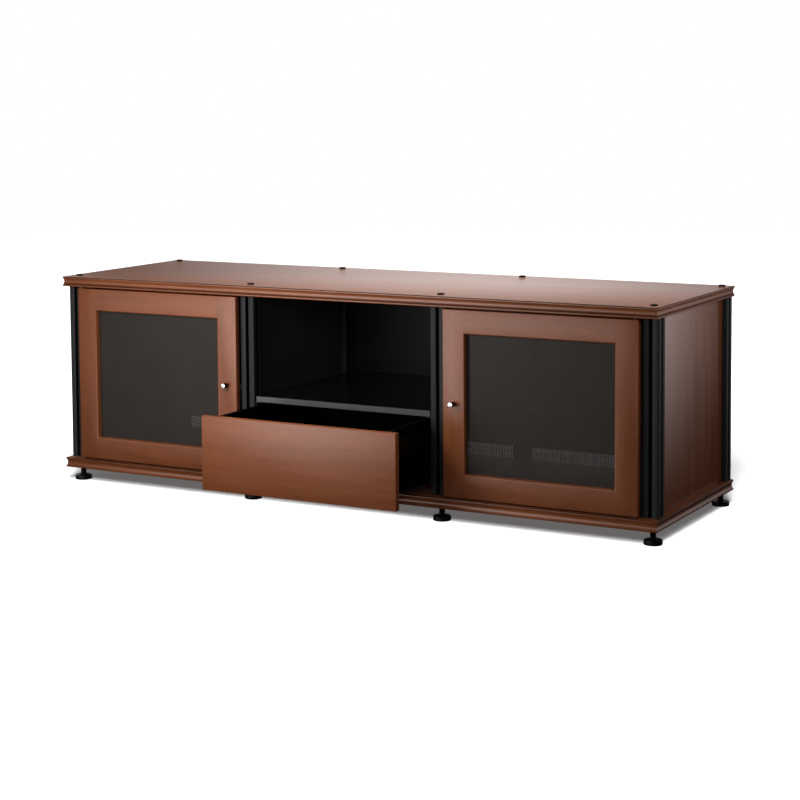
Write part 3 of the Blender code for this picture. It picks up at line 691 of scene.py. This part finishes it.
def make_insert(side, finish):
    """The perforated sheet: a field of staggered holes with a plain margin, one closed body."""
    node = f"door_mesh_{side}"
    low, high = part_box(node)
    width = high.x - low.x - 2 * PERFORATED_MARGIN
    height = high.z - low.z - 2 * PERFORATED_MARGIN
    rows = int(height / HOLE_PITCH)
    columns = int((width - 2 * CELL_RADIUS) / CELL_COLUMN_STEP) + 1
    bottom = (low.z + high.z - rows * HOLE_PITCH) / 2
    field_width = (columns - 1) * CELL_COLUMN_STEP + 2 * CELL_RADIUS
    left = (low.x + high.x - field_width) / 2
    shape = bmesh.new()
    rim = add_hole_cells(shape, low.y, left, bottom, columns, rows)
    border = [edge for edge in shape.edges if edge.is_boundary and set(edge.verts) <= rim]
    sheet_corners = inset_corners(low.x, low.z, high.x, high.z, 0.0)
    outline = [shape.verts.new((x, low.y, z)) for x, z in sheet_corners]
    for first, second in zip(outline, outline[1:] + outline[:1]):
        border.append(shape.edges.new((first, second)))
    bmesh.ops.triangle_fill(shape, edges=border, use_beauty=True)

    # A copy of the front makes the rear, and walls join the two along every open edge
    copied = bmesh.ops.duplicate(shape, geom=shape.verts[:] + shape.edges[:] + shape.faces[:])
    rear_vertices = [part for part in copied["geom"] if isinstance(part, bmesh.types.BMVert)]
    bmesh.ops.translate(shape, vec=(0.0, high.y - low.y, 0.0), verts=rear_vertices)
    for edge in [edge for edge in shape.edges if edge.is_boundary]:
        is_rear = edge.verts[0].co.y > low.y + 1.0 / MICRONS_PER_METRE
        if is_rear or edge not in copied["edge_map"]:
            continue
        twin = [copied["vert_map"][vertex] for vertex in edge.verts]
        shape.faces.new((edge.verts[0], edge.verts[1], twin[1], twin[0]))
    finish_piece(node + "_look", shape, [finish["mesh"]], f"door_{side}", [node])


def make_knob(side, finish):
    """A turned knob with an eased rim, a shallow ring near its front and a narrower foot; its body and
    front face are dark and bright copies of one nickel, painted reflection.
    """
    node = f"door_knob_{side}"
    low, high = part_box(node)
    centre = middle(node)
    radius = (high.x - low.x) / 2
    base_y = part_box(f"door_frame_{side}")[0].y
    length = base_y - low.y
    body = radius - KNOB_EASING
    ring = radius - KNOB_RING_DEPTH
    ring_start = length - KNOB_RING_SETBACK
    profile = [
        (KNOB_FOOT_RADIUS, KNOB_BASE_GAP),
        (KNOB_FOOT_RADIUS, KNOB_FOOT_LENGTH),
        *arc((body, KNOB_FOOT_LENGTH + KNOB_EASING), KNOB_EASING, -90, 0, CORNER_STEPS),
        (radius, ring_start),
        (ring, ring_start + KNOB_RING_DEPTH),
        (ring, ring_start + 2 * KNOB_RING_DEPTH),
        (radius, ring_start + 3 * KNOB_RING_DEPTH),
        *arc((body, length - KNOB_EASING), KNOB_EASING, 0, 90, RIM_STEPS),
    ]
    place = Matrix.Translation((centre.x, base_y, centre.z)) @ Matrix.Rotation(math.pi / 2, 4, "X")
    shape = turned(profile, place)
    # The front face takes the bright copy of the nickel, a painted highlight
    shape.faces.ensure_lookup_table()
    shape.faces[-1].material_index = 1
    materials = [finish["knob"], finish["knob_face_painted_highlight"]]
    finish_piece(node + "_look", shape, materials, f"door_{side}", [node])


# Drawer
def make_drawer_front(finish):
    """A veneered panel with its edges eased."""
    low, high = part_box("drawer_front")
    shape = bmesh.new()
    bmesh.ops.create_cube(shape, size=1.0)
    bmesh.ops.scale(shape, vec=high - low, verts=shape.verts)
    bmesh.ops.translate(shape, vec=(low + high) / 2, verts=shape.verts)
    bmesh.ops.bevel(
        shape, geom=shape.edges[:], offset=FRAME_EASING, segments=EASING_STEPS, profile=0.5, affect="EDGES"
    )
    materials = [finish["veneer_x"]]
    finish_piece("drawer_front_look", shape, materials, "drawer", ["drawer_front"])


# Shade strips beside the end doors: dark pieces put in the gaps, painted shade
def make_gap_shade_strip(name, side, bottom, top, finish):
    """A black lip on the end post, behind the door's hinged edge, that closes the gap beside the door; it
    darkens that gap as painted shade.
    """
    on_left = side == "left"
    low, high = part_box("post_front_1" if on_left else "post_front_4")
    inward = 1.0 if on_left else -1.0
    root = high.x if on_left else low.x
    front = low.y + SHADE_STRIP_SETBACK
    tip = SHADE_STRIP_WIDTH - SHADE_STRIP_EASING
    section = [(0.0, 0.0), (0.0, SHADE_STRIP_THICKNESS)]
    section += arc((tip, SHADE_STRIP_THICKNESS - SHADE_STRIP_EASING), SHADE_STRIP_EASING, 90, 0, CORNER_STEPS)
    section += arc((tip, SHADE_STRIP_EASING), SHADE_STRIP_EASING, 0, -90, CORNER_STEPS)
    shape = bmesh.new()
    rings = []
    for level in (bottom, top):
        rings.append([shape.verts.new((root + inward * x, front + y, level)) for x, y in section])
    enclose(shape, rings)
    finish_piece(name, shape, [finish["rail"]], "carcass")


def make_gap_shade_strips(side, finish):
    """Two lengths of the black strip, below the shelf rail and above the shelf."""
    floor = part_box("bottom_board")[1].z + SHADE_STRIP_END_GAP
    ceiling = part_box("top_board")[0].z - SHADE_STRIP_END_GAP
    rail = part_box(f"shelf_rail_{side}_1")[0].z - SHADE_STRIP_END_GAP
    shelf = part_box(f"shelf_{side}")[1].z + SHADE_STRIP_END_GAP
    make_gap_shade_strip(f"door_stop_{side}_lower", side, floor, rail, finish)
    make_gap_shade_strip(f"door_stop_{side}_upper", side, shelf, ceiling, finish)


# Bolts and feet
def bolt_head(radius, height, place):
    """A low round head with an eased rim and a six-sided socket."""
    easing = BOLT_HEAD_EASING
    rim = arc((radius - easing, height - easing), easing, 0, 90, CORNER_STEPS)
    socket = []
    for angle in TURNED_ANGLES:
        socket.append(BOLT_SOCKET_ACROSS / 2 / math.cos(angle % (math.pi / 3) - math.pi / 6))
    shape = bmesh.new()
    rings = round_rings(shape, [(radius, 0.0), *rim])
    for level in (height, height - BOLT_SOCKET_DEPTH):
        rings.append(ring_about_z(shape, socket, level))
    enclose(shape, rings)
    bmesh.ops.transform(shape, matrix=place, verts=shape.verts)
    return shape


def make_bolt(node, finish):
    low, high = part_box(node)
    centre = middle(node)
    board_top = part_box("top_board")[1].z
    place = Matrix.Translation((centre.x, centre.y, board_top))
    shape = bolt_head((high.x - low.x) / 2, high.z - board_top, place)
    finish_piece(node + "_look", shape, [finish["bolt"]], "carcass", [node])


def make_foot(node, finish):
    """A levelling foot: rounded pad on a narrower sole, low collar, and threaded stem up to the board."""
    low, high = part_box(node)
    centre = middle(node)
    pad = (high.x - low.x) / 2
    edge = PAD_EDGE_RADIUS
    shoulder = PAD_SHOULDER_RADIUS
    board_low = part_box("bottom_board")[0].z
    profile = [
        (pad - SOLE_INSET, 0.0),
        (pad - SOLE_INSET, SOLE_HEIGHT),
        *arc((pad - edge, SOLE_HEIGHT + edge), edge, -90, 0, CORNER_STEPS),
        *arc((pad - shoulder, PAD_HEIGHT - shoulder), shoulder, 0, 90, ROUNDING_STEPS),
        (COLLAR_RADIUS, PAD_HEIGHT + COLLAR_FOOT),
        (COLLAR_TOP_RADIUS, PAD_HEIGHT + COLLAR_TOP),
        (STEM_RADIUS, PAD_HEIGHT + STEM_FOOT),
    ]
    level = PAD_HEIGHT + THREAD_FOOT
    while level < board_low - THREAD_TOP_GAP - THREAD_PITCH:
        profile.append((STEM_RADIUS, level))
        profile.append((STEM_RADIUS - THREAD_DEPTH, level + THREAD_PITCH / 2))
        level += THREAD_PITCH
    profile.append((STEM_RADIUS, level))
    profile.append((STEM_RADIUS, board_low - STEM_TOP_GAP))
    shape = turned(profile, Matrix.Translation((centre.x, centre.y, 0.0)))
    finish_piece(node + "_look", shape, [finish["foot"]], "levelling_" + node, [node])


# Finishes on the solids that stay, by how their names start; the first match counts
STAYING = {
    "side_panel_": "side_z",
    "divider_": "divider",
    "back_panel_": "back",
    "shelf_rail_": "rail",
    "shelf_": "shelf",
    "door_pin_": "pin",
    "drawer_": "box",
    "slide_": "slide",
}


def dress_solids(frame, finish):
    for name, item in frame["nodes"].items():
        for start, key in STAYING.items():
            if name.startswith(start):
                item.data.materials.clear()
                item.data.materials.append(finish[key])
                break


# Camera, floor and light
def make_camera():
    azimuth = math.radians(CAMERA_AZIMUTH)
    elevation = math.radians(CAMERA_ELEVATION)
    roll = math.radians(CAMERA_ROLL)
    back = Vector((
        math.sin(azimuth) * math.cos(elevation),
        -math.cos(azimuth) * math.cos(elevation),
        math.sin(elevation),
    ))
    level_right = Vector((math.cos(azimuth), math.sin(azimuth), 0.0))
    level_up = back.cross(level_right)
    right = level_right * math.cos(roll) + level_up * math.sin(roll)
    up = level_up * math.cos(roll) - level_right * math.sin(roll)
    data = bpy.data.cameras.new("camera")
    data.sensor_width = SENSOR_WIDTH
    data.lens = FOCAL_LENGTH
    data.shift_y = CAMERA_SHIFT
    camera = bpy.data.objects.new("camera", data)
    bpy.context.scene.collection.objects.link(camera)
    turn = Matrix((right, up, back)).transposed().to_4x4()
    camera.matrix_world = Matrix.Translation(Vector(CAMERA_TARGET) + back * CAMERA_DISTANCE) @ turn
    bpy.context.scene.camera = camera


def ray_kinds(tree, *kinds):
    """1 for rays of any of these kinds."""
    path = tree.nodes.new("ShaderNodeLightPath")
    seen = path.outputs[kinds[0]]
    for kind in kinds[1:]:
        seen = math_node(tree, "MAXIMUM", seen, path.outputs[kind])
    return seen


def make_world():
    """A low even fill, and a white backdrop; in reflections the ground, the front and the right are dim."""
    world = bpy.data.worlds.new("studio")
    bpy.context.scene.world = world
    world.use_nodes = True
    tree = world.node_tree
    fill = tree.nodes["Background"]
    white = tree.nodes.new("ShaderNodeBackground")
    for background in (fill, white):
        background.inputs["Color"].default_value = (*grey(1.0), 1.0)
    fill.inputs["Strength"].default_value = FILL_LEVEL
    place = tree.nodes.new("ShaderNodeTexCoord")
    split = tree.nodes.new("ShaderNodeSeparateXYZ")
    tree.links.new(place.outputs["Generated"], split.inputs["Vector"])
    height = smooth_change(tree, split.outputs["Z"], GROUND_FADE, GROUND_GLOSS, 1.0)
    depth = smooth_change(tree, split.outputs["Y"], FRONT_FADE, ROOM_GLOSS, 1.0)
    across = smooth_change(tree, split.outputs["X"], RIGHT_FADE, 1.0, ROOM_GLOSS)
    backdrop = math_node(tree, "MULTIPLY", height, depth)
    backdrop = math_node(tree, "MULTIPLY", backdrop, across)
    reflected = math_node(tree, "MULTIPLY", backdrop, ray_kinds(tree, "Is Glossy Ray"))
    direct = ray_kinds(tree, "Is Camera Ray", "Is Transmission Ray")
    tree.links.new(math_node(tree, "MAXIMUM", direct, reflected), white.inputs["Strength"])
    choice = tree.nodes.new("ShaderNodeMixShader")
    seen = ray_kinds(tree, "Is Camera Ray", "Is Glossy Ray", "Is Transmission Ray")
    tree.links.new(seen, choice.inputs["Fac"])
    tree.links.new(fill.outputs["Background"], choice.inputs[1])
    tree.links.new(white.outputs["Background"], choice.inputs[2])
    tree.links.new(choice.outputs["Shader"], tree.nodes["World Output"].inputs["Surface"])


def soft_falloff(tree, fade, inner_level, outer_level):
    """A value that changes smoothly with the distance from the object's own origin."""
    place = tree.nodes.new("ShaderNodeTexCoord")
    distance = tree.nodes.new("ShaderNodeVectorMath")
    distance.operation = "LENGTH"
    tree.links.new(place.outputs["Object"], distance.inputs[0])
    return smooth_change(tree, distance.outputs["Value"], fade, inner_level, outer_level)


def stage_disc(name, radius, material):
    shape = bmesh.new()
    bmesh.ops.create_circle(shape, cap_ends=True, segments=DISC_FACETS, radius=radius)
    mesh = bpy.data.meshes.new(name)
    shape.to_mesh(mesh)
    shape.free()
    mesh.materials.append(material)
    disc = bpy.data.objects.new(name, mesh)
    bpy.context.scene.collection.objects.link(disc)
    return disc


def make_floor():
    """A white floor that keeps the shadow near the console and is plain white further out."""
    material, tree, shader = start_material("floor white")
    shader.inputs["Base Color"].default_value = (*grey(FLOOR_GREY), 1.0)
    shader.inputs["Roughness"].default_value = FLOOR_ROUGHNESS
    shader.inputs["Specular IOR Level"].default_value = 0.0
    glow = tree.nodes.new("ShaderNodeEmission")
    outward = soft_falloff(tree, FLOOR_FADE, FLOOR_SHADOW_LEVEL, 1.0)
    seen = ray_kinds(tree, "Is Camera Ray", "Is Glossy Ray", "Is Transmission Ray")
    tree.links.new(math_node(tree, "MULTIPLY", outward, seen), glow.inputs["Strength"])
    both = tree.nodes.new("ShaderNodeAddShader")
    tree.links.new(shader.outputs["BSDF"], both.inputs[0])
    tree.links.new(glow.outputs["Emission"], both.inputs[1])
    tree.links.new(both.outputs["Shader"], tree.nodes["Material Output"].inputs["Surface"])
    floor = stage_disc("floor", FLOOR_RADIUS, material)
    floor.location = FLOOR_CENTRE
    floor.visible_diffuse = False
    floor.visible_glossy = False
    return floor


def aim(item, place, target, axis):
    """Puts a lamp or card in its place, with one of its axes towards a target."""
    item.location = place
    item.rotation_mode = "QUATERNION"
    item.rotation_quaternion = (Vector(target) - Vector(place)).to_track_quat(axis, "Y")


def add_glow(name, place, target, radius, strength, edge_strength, flatten=1.0):
    """A round or flattened card, brightest in the middle, that only reflections show."""
    material, tree = start_material(name)[:2]
    glow = tree.nodes.new("ShaderNodeEmission")
    tree.links.new(soft_falloff(tree, (0.0, radius), strength, edge_strength), glow.inputs["Strength"])
    tree.links.new(glow.outputs["Emission"], tree.nodes["Material Output"].inputs["Surface"])
    card = stage_disc(name, radius, material)
    aim(card, place, target, "Z")
    card.scale = (1.0, flatten, 1.0)
    card.visible_camera = False
    card.visible_diffuse = False
    card.visible_transmission = False
    card.visible_shadow = False


def add_softbox(name, place, target, size, power, lit):
    """A rectangular lamp that lights one group of objects and doesn't show in reflections."""
    data = bpy.data.lights.new(name, "AREA")
    data.shape = "RECTANGLE"
    data.size = size[0]
    data.size_y = size[1]
    data.energy = power
    lamp = bpy.data.objects.new(name, data)
    aim(lamp, place, target, "-Z")
    lamp.visible_camera = False
    lamp.visible_glossy = False
    lamp.light_linking.receiver_collection = lit
    bpy.context.scene.collection.objects.link(lamp)
    return lamp


def light_group(name, objects, state):
    """A group for light linking that takes in only these objects, or all but these."""
    group = bpy.data.collections.new(name)
    for item in objects:
        group.objects.link(item)
    for member in group.collection_objects:
        member.light_linking.link_state = state
    return group


def make_lights(floor):
    """Soft lamps on the console, one lamp for the floor alone, and three cards for the gloss.

    The floor lamp passes through the drawer, which casts no shadow on the floor.
    """
    console = light_group("all but the floor", [floor], "EXCLUDE")
    ground = light_group("only the floor", [floor], "INCLUDE")
    add_softbox("front", (-0.22, -1.25, 0.80), (-0.22, -0.15, 0.35), (0.7, 0.5), FRONT_POWER, console)
    add_softbox("near", (-0.34, -0.95, 0.82), (-0.34, -0.15, 0.35), (0.4, 0.3), NEAR_POWER, console)
    add_softbox(
        "front right", (1.30, -2.20, 0.90), (0.30, -0.15, 0.25), (0.9, 0.7), FRONT_RIGHT_POWER, console
    )
    add_softbox("top", (0.20, 0.05, 1.75), (0.20, 0.05, 0.50), (0.9, 0.7), TOP_POWER, console)
    add_softbox("right", (1.15, 0.02, 0.62), (0.82, 0.02, 0.50), (0.6, 0.12), RIGHT_POWER, console)
    add_softbox("left", (-2.30, 0.20, 1.00), (-0.82, 0.0, 0.30), (0.9, 0.7), LEFT_POWER, console)
    add_softbox("rear", (0.80, 2.60, 1.60), (0.0, 0.35, 0.30), (1.6, 1.0), REAR_POWER, console)
    floor_lamp = add_softbox(
        "floor lamp", (2.77, -5.57, 4.93), (0.0, 0.10, 0.0), (2.2, 4.2), FLOOR_POWER, ground
    )
    drawer = [item for item in bpy.data.objects if item.name.startswith(("drawer_", "slide_"))]
    floor_lamp.light_linking.blocker_collection = light_group("no drawer shadow", drawer, "EXCLUDE")
    add_glow("front glow", (-0.97, -2.0, 0.38), (-0.97, 0.0, 0.38), 1.55, FRONT_GLOW, 0.0, flatten=0.53)
    add_glow("rear glow", (-1.18, 3.0, 0.90), (0.0, 0.1, 0.545), 1.85, REAR_GLOW, REAR_GLOW_EDGE)
    add_glow(
        "side glow", (2.0, 2.55, 0.28), (0.0, 2.55, 0.28), 1.15, SIDE_GLOW, SIDE_GLOW_EDGE, flatten=0.85
    )


def build():
    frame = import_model()
    finish = make_finishes()
    make_camera()
    dress_solids(frame, finish)
    for node in ("top_board", "bottom_board"):
        make_board(node, finish)
    for side in ("left", "right"):
        make_door_frame(side, finish)
        make_insert(side, finish)
        make_knob(side, finish)
        make_gap_shade_strips(side, finish)
    make_drawer_front(finish)
    for row in ("front", "rear"):
        for number in range(1, 5):
            make_post(f"post_{row}_{number}", finish)
            make_bolt(f"cap_{row}_{number}", finish)
            make_foot(f"foot_{row}_{number}", finish)
    make_world()
    make_lights(make_floor())
    bpy.context.scene.view_settings.view_transform = "Standard"


build()
